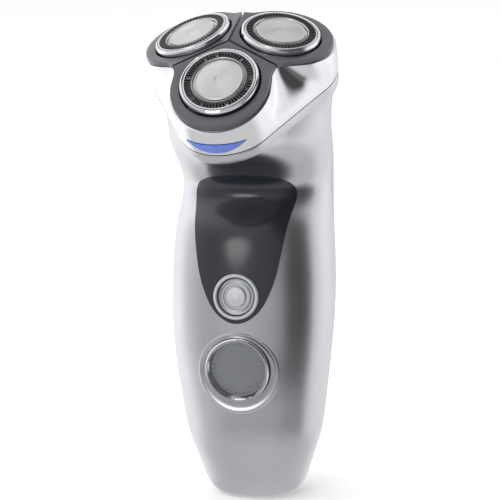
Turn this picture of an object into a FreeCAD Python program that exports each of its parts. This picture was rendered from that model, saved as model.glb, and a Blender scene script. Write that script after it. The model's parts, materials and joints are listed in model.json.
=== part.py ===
import FreeCAD, Part

import math
import os

from FreeCAD import Placement, Rotation, Vector

# Rotary electric shaver: a silver handle with a tilted flip-top head that carries three floating round heads.
# Millimetres and degrees. +X is to the right as seen from the front, the front faces -Y and +Z is up.
# The origin is the middle of the flat base.

X_AXIS = Vector(1, 0, 0)
Y_AXIS = Vector(0, 1, 0)
Z_AXIS = Vector(0, 0, 1)

# Covers
wall = 2.0
head_wall = 1.6
parting_y = 7.5            # plane where the front and rear covers meet
parting_gap = 0.25
seat_gap = 0.05            # around inlaid pieces that don't move
slide_gap = 0.3            # around pieces that move

# Head unit. Its own frame has z along the head's axis, -y to the front and z = 0 on the seam with the collar.
head_tilt = 34.0
head_centre = Vector(0, -13.5, 139.5)
lobe_circle = 17.7         # distance of each shaving head's middle from the head unit's axis
dome_angle = 15.0          # how far each shaving head leans outward
guard_height = 18.0        # of a guard's top over the seam
seam_gap = 0.2             # on each side of the seam plane
head_angles = {"front": 0.0, "right": 120.0, "left": 240.0}

# Heights over the seam of the head shell's sections, with lobe radius, web radius and rear bulge
head_sections = [
    (0.0, 16.2, 900.0, 4.2),
    (3.0, 16.8, 900.0, 4.2),
    (8.0, 17.1, 40.0, 2.6),
    (12.0, 17.0, 14.0, 0.9),
    (14.5, 16.7, 9.5, 0.0),
    (24.0, 16.7, 9.5, 0.0),
]

# Handle sections: y and z of the middle, tilt, half width, reach to the front and to the back. Inner shapes
# are drawn in by the wall at every section, and raised by the last value's share of it where the neck flares.
handle_sections = [
    (0.0, 0.0, 0.0, 11.5, 10.0, 9.8, 0.0),
    (0.0, 1.3, 0.0, 15.0, 13.0, 12.4, 0.0),
    (-0.5, 7.0, 0.0, 18.2, 15.2, 14.9, 0.0),
    (-1.2, 17.0, 0.0, 21.6, 17.4, 17.7, 0.0),
    (-2.2, 34.5, 0.0, 25.2, 20.0, 21.6, 0.0),
    (-2.0, 53.5, 0.0, 27.4, 22.0, 23.9, 0.0),
    (0.5, 73.5, 0.0, 28.2, 23.7, 25.4, 0.0),
    (3.0, 91.5, 0.0, 27.3, 23.5, 26.0, 0.0),
    (9.5, 108.5, 12.0, 26.2, 22.0, 20.6, 0.3),
    (2.0, 123.0, 24.0, 27.4, 23.4, 21.2, 1.0),
]
collar_tilt = 33.0
collar_centre = Vector(0, -11.0, 135.8)
handle_top = (14.6, 900.0, 4.5)      # lobe radius, web radius and rear bulge where the collar sits
collar_foot = (15.7, 900.0, 4.4)
collar_waist = (16.2, 900.0, 4.3)
collar_wall = 2.6
roundness = 2.15                     # exponent of the handle's sections

# Petals, guards and cutters, in each shaving head's own frame: z outward along its axis, 0 on the guard's top
guard_radius = 13.1
petal_opening = 13.6
petal_drop = 1.93
petal_thickness = 1.6
petal_lobe = 16.3
petal_web = 9.0
groove = 0.9
cutter_radius = 11.9
blade_count = 15

# Drive: a pinion on the motor turns three gears, whose spindles turn the cutters
spindle_circle = 16.0
module_size = 0.64
pinion_teeth = 15
gear_teeth = 35
pressure_angle = 25.0
backlash = 0.12
spindle_radius = 1.5
gear_low, gear_high = -6.1, -3.7
gear_room_radius = 12.2      # of the pocket for the front gear inside the front cover
plate_low, plate_high = -8.6, -7.0
deck_low, deck_high = -3.2, -1.6
deck_outline = (16.2, 900.0, 4.2)
motor_radius = 10.0
motor_length = 26.0

# Front controls
button_height = 71.9
button_lean = 4.0
display_height = 47.0
display_lean = -4.0
dish_radius = 14.1         # of the shallow dish around the display
dish_drop = 1.3            # of the dish's middle under the display's
panel_outline = [(0.0, 111.8), (9.4, 111.1), (15.6, 108.9), (17.6, 104.5), (16.3, 96.5),
                 (13.9, 82.0), (11.2, 73.0), (7.2, 66.4), (0.0, 62.9)]

# Back controls
trimmer_lean = 24.5
trimmer_hinge = Vector(0, 24.6, 116.2)
trimmer_width = 20.0
inlet_half = 2.5
pin_offset = 2.2


def head_frame():
    return Placement(head_centre, Rotation(X_AXIS, head_tilt))


def shaving_frame(angle):
    """Frame of the shaving head at an angle around the head unit's axis, with -y outward."""
    turn = math.radians(angle)
    middle = Vector(lobe_circle * math.sin(turn), -lobe_circle * math.cos(turn), guard_height)
    lean = Rotation(Z_AXIS, angle).multiply(Rotation(X_AXIS, dome_angle))
    return head_frame().multiply(Placement(middle, lean))


def collar_frame(height):
    """Frame on the plane where the collar sits on the handle, raised by height."""
    foot = Placement(collar_centre, Rotation(X_AXIS, collar_tilt))
    return foot.multiply(Placement(Vector(0, 0, height), Rotation()))


def front_frame(y, z, lean):
    """Frame on the front of the handle, with z outward and y upward."""
    return Placement(Vector(0, y, z), Rotation(X_AXIS, 90.0 - lean))


def trimmer_frame():
    """Frame on the trimmer's hinge, with y out of the back and z up along it."""
    return Placement(trimmer_hinge, Rotation(X_AXIS, trimmer_lean))


def placed(shape, frame):
    moved = shape.copy()
    moved.Placement = frame.multiply(moved.Placement)
    return moved


def disc(radius, low, high, x=0.0, y=0.0):
    return Part.makeCylinder(radius, high - low, Vector(x, y, low))


def tube(outer, inner, low, high, x=0.0, y=0.0):
    return disc(outer, low, high, x, y).cut(disc(inner, low - 1, high + 1, x, y))


def block(x_low, x_high, y_low, y_high, z_low, z_high):
    return Part.makeBox(x_high - x_low, y_high - y_low, z_high - z_low, Vector(x_low, y_low, z_low))


def bar(radius, x_low, x_high, y=0.0, z=0.0):
    """Round bar along X."""
    return Part.makeCylinder(radius, x_high - x_low, Vector(x_low, y, z), X_AXIS)


def rod(radius, y_low, y_high, x=0.0, z=0.0):
    """Round bar along Y."""
    return Part.makeCylinder(radius, y_high - y_low, Vector(x, y_low, z), Y_AXIS)


def turned(profile):
    """Solid of revolution about z from points (radius, height)."""
    points = [Vector(r, 0, h) for r, h in profile]
    face = Part.Face(Part.makePolygon(points + points[:1]))
    return face.revolve(Vector(0, 0, 0), Z_AXIS, 360)


def hexagon(across_flats, low, high, x=0.0, y=0.0):
    radius = across_flats / math.sqrt(3)
    corners = []
    for k in range(6):
        turn = math.radians(60 * k)
        corners.append(Vector(x + radius * math.cos(turn), y + radius * math.sin(turn), low))
    return Part.Face(Part.makePolygon(corners + corners[:1])).extrude(Vector(0, 0, high - low))


def smooth_loop(points):
    curve = Part.BSplineCurve()
    steps = [k / len(points) for k in range(len(points) + 1)]
    curve.interpolate(Points=points, PeriodicFlag=True, Parameters=steps)
    return Part.Wire(curve.toShape())


# ---- Outlines as distance from the middle at an angle from the front ----

section_angles = [5.0 * k for k in range(72)]


def lobed_radius(angle, lobe, web, bulge):
    """Three lobes joined by concave webs, with a bulge at the back."""
    phi = math.radians(abs((angle + 60) % 120 - 60))
    sixty = math.radians(60)
    reach = lobe_circle / 2 + math.sqrt((lobe + web) ** 2 - 0.75 * lobe_circle ** 2)
    share = lobe / (lobe + web)
    touch_x = lobe_circle + (reach * math.cos(sixty) - lobe_circle) * share
    touch_y = reach * math.sin(sixty) * share
    if phi < math.atan2(touch_y, touch_x):
        radius = lobe_circle * math.cos(phi) + math.sqrt(lobe ** 2 - (lobe_circle * math.sin(phi)) ** 2)
    else:
        radius = reach * math.cos(sixty - phi) - math.sqrt(web ** 2 - (reach * math.sin(sixty - phi)) ** 2)
    from_back = abs((angle % 360) - 180)
    if from_back < 60:
        radius += bulge * math.cos(math.radians(1.5 * from_back)) ** 2
    return radius


def oval_radius(angle, half_width, front, back):
    turn = math.radians(angle)
    depth = front if math.cos(turn) > 0 else back
    side = abs(math.sin(turn)) / half_width
    face = abs(math.cos(turn)) / depth
    return (side ** roundness + face ** roundness) ** (-1 / roundness)


def section(radii, frame):
    points = []
    for angle, radius in zip(section_angles, radii):
        turn = math.radians(angle)
        points.append(frame.multVec(Vector(radius * math.sin(turn), -radius * math.cos(turn), 0)))
    return smooth_loop(points)


def lobed_radii(outline, inset=0.0):
    return [lobed_radius(a, *outline) - inset for a in section_angles]


def oval_radii(half_width, front, back, inset=0.0):
    return [oval_radius(a, half_width, front, back) - inset for a in section_angles]


# ---- Large solids that the covers are cut from ----

def handle_body(inset, floor=0.0, overrun=False):
    """The handle's outer shape drawn in by inset, from the floor to the collar, or past it with overrun."""
    loops = []
    for y, z, tilt, half_width, front, back, rise in handle_sections:
        if z == 0.0:
            half_width, front, back = half_width + floor, front + floor, back + floor
        elif z <= floor:
            continue
        frame = Placement(Vector(0, y, max(z, floor)), Rotation(X_AXIS, tilt))
        frame = frame.multiply(Placement(Vector(0, 0, rise * inset), Rotation()))
        loops.append(section(oval_radii(half_width, front, back, inset), frame))
    top = collar_frame(0.0)
    loops.append(section(lobed_radii(handle_top, inset), collar_frame(rise * inset)))
    loops.append(section(lobed_radii(handle_top, inset), collar_frame(10.0)))
    body = Part.makeLoft(loops, True)
    if overrun:
        return body
    return body.cut(placed(block(-90, 90, -90, 90, 0, 90), top))


def head_body(inset):
    """The head shell's outer shape in the head unit's frame, before its domed top is cut."""
    loops = []
    for height, lobe, web, bulge in head_sections:
        frame = Placement(Vector(0, 0, height), Rotation())
        loops.append(section(lobed_radii((lobe, web, bulge), inset), frame))
    return Part.makeLoft(loops, True)


def above_dome(drop):
    """All that lies above the three leaning planes, drop under the guards' tops, in the head unit's frame."""
    to_head = head_frame().inverse()
    regions = []
    for angle in head_angles.values():
        slab = placed(block(-90, 90, -90, 90, -drop, 60), shaving_frame(angle))
        regions.append(placed(slab, to_head))
    return regions[0].fuse(regions[1:])


def sector(angle, margin):
    """The third of the head around one shaving head, kept margin clear of its neighbours."""
    apex = margin / math.sin(math.radians(60))
    far = 80.0
    corners = [Vector(0, -apex, -40)]
    for side in (-60, 60):
        turn = math.radians(side)
        corners.append(Vector(far * math.sin(turn), -apex - far * math.cos(turn), -40))
    face = Part.Face(Part.makePolygon(corners + corners[:1]))
    wedge = face.extrude(Vector(0, 0, 100))
    tip = Part.Face(Part.makePolygon([corners[1], Vector(0, -2 * far, -40), corners[2], corners[1]]))
    wedge = wedge.fuse(tip.extrude(Vector(0, 0, 100)))
    return placed(wedge, Placement(Vector(0, 0, 0), Rotation(Z_AXIS, angle)))


def panel_prism(margin):
    points = panel_outline + [(-x, z) for x, z in reversed(panel_outline[1:-1])]
    middle_z = 0.5 * (panel_outline[0][1] + panel_outline[-1][1])
    grown = []
    for x, z in points:
        length = math.hypot(x, z - middle_z)
        scale = (length + margin) / length
        grown.append(Vector(x * scale, -40, middle_z + (z - middle_z) * scale))
    return Part.Face(smooth_loop(grown)).extrude(Vector(0, 40, 0))


# ---- Covers ----

BODY = handle_body(0.0)
CAVITY = handle_body(wall, wall, True)
UNDER_PANEL = handle_body(1.2)
GRIP_FLOOR = handle_body(0.9)
BUTTON_FRAME = front_frame(-23.3, button_height, button_lean)
DISPLAY_FRAME = front_frame(-23.6, display_height, display_lean)
SCREW_PLACES = [(9.2, 16.2), (-9.2, 16.2), (17.0, 93.5), (-17.0, 93.5)]


def inlet_frame():
    """Frame of the charging inlet at the foot of the back, with z pointing out of it."""
    return Placement(Vector(0, 14.6, 9.0), Rotation(X_AXIS, -105.0))


def inlet_opening(margin, low, high):
    """Rounded slot for the charging plug."""
    half = inlet_half + margin
    slot = block(-pin_offset, pin_offset, -half, half, low, high)
    ends = [disc(half, low, high, x, 0) for x in (-pin_offset, pin_offset)]
    return placed(slot.fuse(ends), inlet_frame())


def front_shell():
    shell = BODY.cut(CAVITY)
    shell = shell.common(block(-60, 60, -60, parting_y - parting_gap / 2, -5, 200))
    for x, z in SCREW_PLACES:
        post = rod(2.6, -40, parting_y - parting_gap / 2, x, z).common(handle_body(1.0))
        shell = shell.fuse(post)
    shell = shell.cut(panel_prism(seat_gap).cut(UNDER_PANEL))
    shell = shell.cut(placed(disc(7.0, -9, 6), BUTTON_FRAME))
    shell = shell.cut(placed(disc(dish_radius + seat_gap, -1.3, 6, 0, -dish_drop), DISPLAY_FRAME))
    recess = placed(disc(dish_radius + seat_gap, -8, 6, 0, -dish_drop), DISPLAY_FRAME).cut(UNDER_PANEL)
    shell = shell.cut(recess)
    shell = shell.cut(placed(disc(11.0, -9, 6), DISPLAY_FRAME))
    for x, z in SCREW_PLACES:
        shell = shell.cut(rod(1.0, -3.0, 20.0, x, z))
    gear_room = disc(gear_room_radius, gear_low - slide_gap, 0.0, *spindle_middle(0.0)[:2])
    return shell.cut(placed(gear_room, head_frame()))


def rear_shell():
    shell = BODY.cut(CAVITY)
    shell = shell.common(block(-60, 60, parting_y + parting_gap / 2, 60, -5, 200))
    for x, z in SCREW_PLACES:
        post = rod(2.9, parting_y + parting_gap / 2, 40, x, z).common(handle_body(0.6))
        shell = shell.fuse(post)
    for x, z in SCREW_PLACES:
        shell = shell.cut(rod(1.2, 5.0, 40.0, x, z))
        shell = shell.cut(rod(2.3, screw_head_y(z), 40.0, x, z))
    shell = shell.cut(grip_prism(seat_gap).cut(GRIP_FLOOR))
    shell = shell.cut(placed(trimmer_pocket(0.0), trimmer_frame()))
    shell = shell.cut([block(-2.6, 2.6, 20, 40, 94.5, 107.5), trimmer_pin()])
    return shell.cut(inlet_opening(0.0, -4.0, 6.0))


def screw_head_y(z):
    return 11.6 if z < 50 else 20.5


def grip_prism(margin):
    outline = block(-9.0 - margin, 9.0 + margin, 11.5, 45, 30.0, 82.0)
    ends = [rod(9.0 + margin, 11.5, 45, 0.0, z) for z in (30.0, 82.0)]
    return outline.fuse(ends)


def rear_grip():
    return grip_prism(0.0).common(handle_body(-0.35)).cut(handle_body(0.85))


def collar():
    foot = Placement(collar_centre, Rotation(X_AXIS, collar_tilt))
    seam = head_frame().multiply(Placement(Vector(0, 0, -seam_gap), Rotation()))
    middle = head_frame().multiply(Placement(Vector(0, 0, -3.0), Rotation(X_AXIS, -1.0)))
    outer = Part.makeLoft([section(lobed_radii(collar_foot), foot),
                           section(lobed_radii(collar_waist), middle),
                           section(lobed_radii(head_sections[0][1:]), seam)], True)
    low = foot.multiply(Placement(Vector(0, 0, -2.0), Rotation()))
    high = seam.multiply(Placement(Vector(0, 0, 2.0), Rotation()))
    inner = Part.makeLoft([section(lobed_radii(handle_top, 2.0), low),
                           section(lobed_radii(handle_top, 2.0), foot),
                           section(lobed_radii(collar_waist, collar_wall), middle),
                           section(lobed_radii(head_sections[0][1:], collar_wall), seam),
                           section(lobed_radii(head_sections[0][1:], collar_wall), high)], True)
    ring = outer.cut(inner)
    knuckles = knuckle(5.0, 9.0, -4.2, -1.0).fuse(knuckle(-9.0, -5.0, -4.2, -1.0))
    ring = ring.fuse(placed(knuckles, head_frame()))
    room = bar(knuckle_radius + slide_gap, -5.0, 5.0, hinge_y, hinge_z)
    bore = bar(pin_radius, -12, 12, hinge_y, hinge_z)
    return ring.cut([placed(room, head_frame()), placed(bore, head_frame())])


# ---- Flip-top hinge, in the head unit's frame ----

hinge_y = 29.6
hinge_z = -0.4
knuckle_radius = 2.1
pin_radius = 1.0


def knuckle(x_low, x_high, link_low, link_high):
    barrel = bar(knuckle_radius, x_low, x_high, hinge_y, hinge_z)
    link = block(x_low, x_high, hinge_y - 3.2, hinge_y, link_low, link_high)
    return barrel.fuse(link)


def hinge_pin():
    return placed(bar(pin_radius, -9.6, 9.6, hinge_y, hinge_z), head_frame())


# ---- Shaving unit ----

def crescent_face(margin, y):
    """Lens-shaped outline of the release button, seen from the front, in the head unit's frame."""
    half, tips, low, high = 9.9, 4.6, 1.4, 5.0
    left = Vector(-half - margin, y, tips)
    right = Vector(half + margin, y, tips)
    lower = Part.Arc(left, Vector(0, y, low - margin), right).toShape()
    upper = Part.Arc(right, Vector(0, y, high + margin), left).toShape()
    return Part.Face(Part.Wire([lower, upper]))


def head_shell():
    shell = head_body(0.0).cut(above_dome(petal_drop + petal_thickness))
    inside = head_body(head_wall)
    mouth = placed(inside, Placement(Vector(0, 0, -2.0), Rotation()))
    shell = shell.cut([inside, mouth])
    shell = shell.fuse([ridge_ribs(), clip_posts()])
    shell = shell.cut(block(-60, 60, -60, 60, -5, seam_gap))
    shell = shell.cut(crescent_face(0.25, -45).extrude(Vector(0, 25, 0)))
    shell = shell.fuse(knuckle(-4.8, 4.8, 0.5, 3.4))
    for side in (-1, 1):
        low, high = sorted((side * 4.8, side * 9.2))
        shell = shell.cut(bar(knuckle_radius + slide_gap, low, high, hinge_y, hinge_z))
    shell = shell.cut(bar(pin_radius + 0.05, -12, 12, hinge_y, hinge_z))
    shell = shell.cut(head_body(0.0).cut(head_body(head_wall)).common(block(-60, 60, -60, 60, -5, 0.0)))
    return placed(shell, head_frame())


def ridge_ribs():
    """Three thin ribs under the grooves, which carry the petals between the guards."""
    slabs = []
    for angle in (60, 180, 300):
        slab = block(-0.55, 0.55, -21.5, 0, 5, 30)
        slabs.append(placed(slab, Placement(Vector(0, 0, 0), Rotation(Z_AXIS, angle))))
    spider = slabs[0].fuse(slabs[1:])
    drop = petal_drop + petal_thickness
    return spider.cut(above_dome(drop)).common(above_dome(drop + 1.5)).common(head_body(0.9))


def clip_posts():
    """Small posts inside the shell that the retaining frame clips to."""
    posts = []
    for angle in (60, 180, 300):
        post = block(-2.0, 2.0, -23.6, -20.4, 7.2, 12.0)
        posts.append(placed(post, Placement(Vector(0, 0, 0), Rotation(Z_AXIS, angle))))
    return posts[0].fuse(posts[1:]).common(head_body(0.8))


def petal(angle):
    level = Placement(Vector(0, 0, 5), Rotation())
    outline = Part.Face(section(lobed_radii((petal_lobe, petal_web, 0.0)), level))
    plate = outline.extrude(Vector(0, 0, 20)).common(sector(angle, groove / 2))
    plate = plate.cut(above_dome(petal_drop))
    plate = plate.common(above_dome(petal_drop + petal_thickness))
    opening = placed(disc(petal_opening, -20, 20), head_frame().inverse().multiply(shaving_frame(angle)))
    return placed(plate.cut(opening), head_frame())


def guard_ring(angle):
    """Chrome rim of a shaving head, with two ears that the petal holds down."""
    low = -5.2
    rim = turned([(12.6, low), (guard_radius, low), (guard_radius, -0.9), (12.9, -0.35), (12.5, -0.1),
                  (12.2, -0.2), (12.2, -0.9), (12.6, -1.1)])
    ears = []
    for side in (-40, 40):
        ear = block(-2.5, 2.5, -14.7, -12.8, low, low + 0.8)
        ears.append(placed(ear, Placement(Vector(0, 0, 0), Rotation(Z_AXIS, side))))
    return placed(rim.fuse(ears), shaving_frame(angle))


def guard(angle):
    """Steel guard: a slotted ring track around a sunk middle."""
    outer = 12.15
    shape = turned([(0, -1.7), (8.4, -1.7), (8.9, -1.3), (9.2, -0.5), (11.6, -0.5), (11.6, -2.4),
                    (outer, -2.4), (outer, -0.25), (11.9, 0.0), (9.1, 0.0), (8.8, -0.3), (8.7, -1.0),
                    (8.3, -1.2), (0, -1.2)])
    slots = []
    for k in range(18):
        slot = block(-0.25, 0.25, -11.3, -9.4, -1, 1)
        slots.append(placed(slot, Placement(Vector(0, 0, 0), Rotation(Z_AXIS, 20 * k))))
    return placed(shape.cut(slots), shaving_frame(angle))


def guard_cap(angle):
    """Brushed disc that covers the middle of a guard."""
    cap = turned([(0, -1.2), (8.2, -1.2), (8.2, -0.2), (7.7, 0.25), (0, 0.35)])
    return placed(cap, shaving_frame(angle))


def cutter(angle):
    """Blade wheel under a guard, with a hexagonal socket that its spindle drives."""
    hub = disc(3.9, -8.5, -3.0).cut(hexagon(5.6, -9, -3.9))
    holes = [disc(1.3, -4, -2, 6.4 * math.cos(t), 6.4 * math.sin(t)) for t in (0.5, 2.6, 4.7)]
    plate = disc(cutter_radius - 0.6, -3.6, -2.8).cut(holes)
    blades = []
    for k in range(blade_count):
        blade = block(-0.3, 0.3, -11.3, -9.4, -3.0, -0.75)
        blades.append(placed(blade, Placement(Vector(0, 0, 0), Rotation(Z_AXIS, 360.0 * k / blade_count))))
    return placed(hub.fuse([plate] + blades), shaving_frame(angle))


def retaining_frame():
    """Removable frame under the guards, with a seat for each and a post for the lock wheel."""
    to_head = head_frame().inverse()
    rings = []
    clear = []
    for angle in head_angles.values():
        frame = to_head.multiply(shaving_frame(angle))
        rings.append(placed(tube(13.6, 11.4, -8.3, -7.1), frame))
        clear.append(placed(disc(12.4, -14, -3), frame))
    level = Placement(Vector(0, 0, 5.4), Rotation())
    plate = Part.Face(section(lobed_radii((15.1, 60.0, 0.0)), level)).extrude(Vector(0, 0, 1.4))
    plate = plate.cut(clear + [disc(10.0, 0, 10)])
    post = [disc(3.2, 10.4, 14.0), disc(1.5, 4.0, 10.6), disc(2.4, 3.2, 4.2)]
    return placed(rings[0].fuse(rings[1:] + [plate] + post), head_frame())


def lock_wheel():
    wings = []
    for k in range(3):
        wing = block(-1.4, 1.4, -8.6, -2.6, 5.2, 6.6)
        wings.append(placed(wing, Placement(Vector(0, 0, 0), Rotation(Z_AXIS, 60 + 120 * k))))
    hub = disc(3.6, 4.6, 9.8)
    wheel = hub.fuse(wings).cut(disc(1.6, 0, 12))
    return placed(wheel, head_frame())


def release_button():
    skin = crescent_face(0.0, -45).extrude(Vector(0, 14.4, 0)).common(head_body(-0.25))
    plate = block(-6.0, 6.0, -30.6, -29.6, 0.6, 4.6)
    stem = block(-5.0, 5.0, -33.2, -30.2, 2.9, 3.8)
    hook = block(-3.0, 3.0, -30.6, -29.6, -0.5, 0.8)
    button = skin.fuse([plate, stem, hook])
    return placed(button, head_frame())


# ---- Drive ----

def gear_outline(teeth, tooth_angle):
    """Closed involute outline with a tooth on the given angle from the front."""
    pitch = module_size * teeth / 2
    base = pitch * math.cos(math.radians(pressure_angle))
    tip = pitch + 0.95 * module_size
    root = pitch - 1.2 * module_size
    lean = math.tan(math.radians(pressure_angle)) - math.radians(pressure_angle)
    half_tooth = math.pi / (2 * teeth) - backlash / (2 * pitch)

    def flank_angle(radius):
        if radius <= base:
            return half_tooth + lean
        slope = math.acos(base / radius)
        return half_tooth + lean - (math.tan(slope) - slope)

    start = max(base, root)
    radii = [start + (tip - start) * k / 4 for k in range(5)]
    edges = []

    def spot(radius, turn):
        return Vector(radius * math.sin(turn), -radius * math.cos(turn), 0)

    for k in range(teeth):
        middle = math.radians(tooth_angle) + 2 * math.pi * k / teeth
        step = 2 * math.pi / teeth
        rise = [spot(r, middle - flank_angle(r)) for r in radii]
        fall = [spot(r, middle + flank_angle(r)) for r in reversed(radii)]
        if root < start:
            edges.append(Part.makeLine(spot(root, middle - flank_angle(start)), rise[0]))
        for flank in (rise, fall):
            curve = Part.BSplineCurve()
            curve.interpolate(flank)
            if flank is fall:
                edges.append(Part.makeLine(rise[-1], fall[0]))
            edges.append(curve.toShape())
        low_end = spot(root, middle + flank_angle(start))
        if root < start:
            edges.append(Part.makeLine(fall[-1], low_end))
        edges.append(Part.makeLine(low_end, spot(root, middle + step - flank_angle(start))))
    return Part.Face(Part.Wire(edges))


def motor_pinion():
    """Pinion on the motor's shaft."""
    pinion = gear_outline(pinion_teeth, 0.0).extrude(Vector(0, 0, gear_high - gear_low + 0.2))
    pinion = placed(pinion, Placement(Vector(0, 0, gear_low - 0.1), Rotation()))
    shaft = disc(1.0, plate_low - 6.0, gear_low + 1.0)
    return placed(pinion.fuse(shaft), head_frame())


def spindle_middle(angle):
    turn = math.radians(angle)
    return Vector(spindle_circle * math.sin(turn), -spindle_circle * math.cos(turn), 0)


def drive_gear(angle):
    middle = spindle_middle(angle)
    half_pitch = 180.0 / gear_teeth
    rim = gear_outline(gear_teeth, half_pitch).extrude(Vector(0, 0, gear_high - gear_low))
    rim = placed(rim, Placement(Vector(0, 0, gear_low), Rotation(Z_AXIS, 180)))
    web = tube(8.6, 3.4, gear_high - 0.8, gear_high + 1)
    gear = rim.cut([web, disc(spindle_radius, -20, 20)])
    return placed(gear, head_frame().multiply(Placement(middle, Rotation(Z_AXIS, angle))))


def spindle(angle):
    shaft = disc(spindle_radius, plate_low + 0.2, 8.0).fuse(hexagon(2.6, 7.6, 12.2))
    collar_ring = disc(2.3, gear_low - 0.5, gear_low)
    middle = spindle_middle(angle)
    return placed(shaft.fuse(collar_ring), head_frame().multiply(Placement(middle, Rotation(Z_AXIS, angle))))


def gear_plate():
    """Lower plate of the drive, which the motor hangs from."""
    plate = disc(20.4, plate_low, plate_high)
    posts = [disc(2.2, plate_high - 0.2, deck_low, *post_place(a)) for a in (60, 180, 300)]
    plate = plate.fuse(posts)
    holes = [disc(spindle_radius + 0.05, plate_low - 1, plate_high + 1, *spindle_middle(a)[:2])
             for a in head_angles.values()]
    holes += [disc(0.95, plate_low - 1, deck_low + 1, *post_place(a)) for a in (60, 180, 300)]
    holes += [disc(3.4, plate_low - 1, plate_high + 1)]
    for x in (-6.5, 6.5):
        holes.append(disc(1.0, plate_low - 1, plate_high + 1, x, 0))
        holes.append(disc(1.8, plate_high - 0.8, plate_high + 1, x, 0))
    return placed(plate.cut(holes), head_frame())


def post_place(angle):
    turn = math.radians(angle)
    return (18.0 * math.sin(turn), -18.0 * math.cos(turn))


def spindle_deck():
    """Floor of the hair chamber, which closes the drive off."""
    level = Placement(Vector(0, 0, deck_low), Rotation())
    plate = Part.Face(section(lobed_radii(deck_outline, collar_wall + 0.8), level))
    plate = plate.extrude(Vector(0, 0, deck_high - deck_low))
    bosses = [disc(3.0, deck_low, 1.2, *spindle_middle(a)[:2]) for a in head_angles.values()]
    plate = plate.fuse(bosses)
    bore = spindle_radius + 0.05
    holes = [disc(bore, deck_low - 1, 3, *spindle_middle(a)[:2]) for a in head_angles.values()]
    holes += [disc(1.1, deck_low - 1, deck_high + 1, *post_place(a)) for a in (60, 180, 300)]
    return placed(plate.cut(holes), head_frame())


def deck_screws():
    screws = []
    for angle in (60, 180, 300):
        x, y = post_place(angle)
        drive_slot = block(x - 1.3, x + 1.3, y - 0.25, y + 0.25, -1.0, 1)
        head = disc(1.9, deck_high, deck_high + 1.1, x, y).cut(drive_slot)
        screws.append(placed(head.fuse(disc(0.95, plate_high + 0.4, deck_high + 0.2, x, y)), head_frame()))
    return Part.makeCompound(screws)


def motor_screws():
    screws = []
    for x in (-6.5, 6.5):
        head = disc(1.7, plate_high - 0.8, plate_high - 0.1, x, 0)
        screw = head.fuse(disc(0.9, plate_low - 2.5, plate_high - 0.4, x, 0))
        screws.append(placed(screw, head_frame()))
    return Part.makeCompound(screws)


def chamber_seal():
    """Rubber ring on the deck's edge, which keeps cut hair out of the drive."""
    level = Placement(Vector(0, 0, deck_high), Rotation())
    outer = Part.Face(section(lobed_radii(deck_outline, collar_wall + 0.9), level))
    inner = Part.Face(section(lobed_radii(deck_outline, collar_wall + 2.0), level))
    ring = outer.cut(inner).Faces[0].extrude(Vector(0, 0, 0.9))
    clear = [disc(3.2, -5, 5, *spindle_middle(a)[:2]) for a in head_angles.values()]
    return placed(ring.cut(clear), head_frame())


def motor():
    top = plate_low
    can = disc(motor_radius, top - motor_length, top)
    boss = disc(3.2, top - 0.2, top + 1.2)
    tail = disc(3.0, top - motor_length - 1.6, top - motor_length)
    tabs = [block(-4.6, -3.6, -1.0, 1.0, top - motor_length - 3.0, top - motor_length),
            block(3.6, 4.6, -1.0, 1.0, top - motor_length - 3.0, top - motor_length)]
    shape = can.fuse([boss, tail] + tabs)
    shape = shape.cut(disc(1.05, top - 6.5, top + 3))
    return placed(shape.cut([disc(0.9, top - 2.5, top + 1, x, 0) for x in (-6.5, 6.5)]), head_frame())


# ---- Front controls ----

def thumb_panel():
    plate = panel_prism(0.0).common(handle_body(0.1)).cut(handle_body(1.15))
    return plate.cut(placed(disc(7.75, -9, 6), BUTTON_FRAME))


def button_ring():
    profile = [(6.5, -3.4), (6.95, -3.4), (6.95, -1.05), (7.7, -1.05), (7.7, 0.3), (7.35, 0.75),
               (6.8, 0.75), (6.5, 0.3)]
    return placed(turned(profile), BUTTON_FRAME)


def power_button():
    profile = [(0, -3.0), (6.2, -3.0), (6.2, -0.2), (5.9, 0.1), (5.0, -0.3), (4.8, 0.2), (4.3, 0.2), (4.1, -0.3),
               (3.6, -0.3), (3.6, -0.9), (0, -0.9)]
    return placed(turned(profile).fuse(disc(1.2, -3.6, -2.8)), BUTTON_FRAME)


def power_button_disc():
    return placed(turned([(0, -0.9), (3.5, -0.9), (3.5, 0.1), (3.1, 0.45), (0, 0.7)]), BUTTON_FRAME)


def display_surround():
    ring = placed(disc(dish_radius, -8, 6, 0, -dish_drop).cut(disc(11.0, -9, 7)), DISPLAY_FRAME)
    return ring.common(handle_body(0.45)).cut(handle_body(1.15))


def display_bezel():
    profile = [(9.7, -4.6), (10.9, -4.6), (10.9, 0.3), (10.6, 0.7), (10.1, 0.7), (9.7, 0.2)]
    return placed(turned(profile), DISPLAY_FRAME)


def display_window():
    return placed(disc(9.65, -1.9, -0.9), DISPLAY_FRAME)


def lcd_module():
    return placed(disc(9.5, -4.2, -2.1), DISPLAY_FRAME)


def circuit_board():
    board = block(-12.5, 12.5, -16.0, -14.4, 34.5, 87.5)
    chips = [block(-5.0, 5.0, -14.4, -13.0, 55.5, 63.5), block(0.0, 6.0, -14.4, -12.6, 77.5, 83.5)]
    return board.fuse(chips)


def power_switch():
    return block(-3.0, 3.0, -18.6, -16.0, button_height - 3.0, button_height + 3.0)


# ---- Inside the handle ----

def battery_cell(x):
    can = disc(7.1, 21.6, 69.6, x, 3.4)
    return can.fuse(disc(2.6, 69.5, 70.6, x, 3.4))


def chassis():
    """Inner frame that carries the cells, the circuit board and the motor's end."""
    spine = block(-13.0, 13.0, -6.2, -4.4, 20.0, 99.5)
    ends = [block(-14.0, 14.0, -6.2, 9.6, 19.6, 21.4), block(-14.0, 14.0, -6.2, 9.6, 71.0, 72.6)]
    posts = [rod(1.8, -14.4, -6.0, x, z) for x in (-10.0, 10.0) for z in (37.5, 84.5)]
    return spine.fuse(ends + posts)


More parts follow.
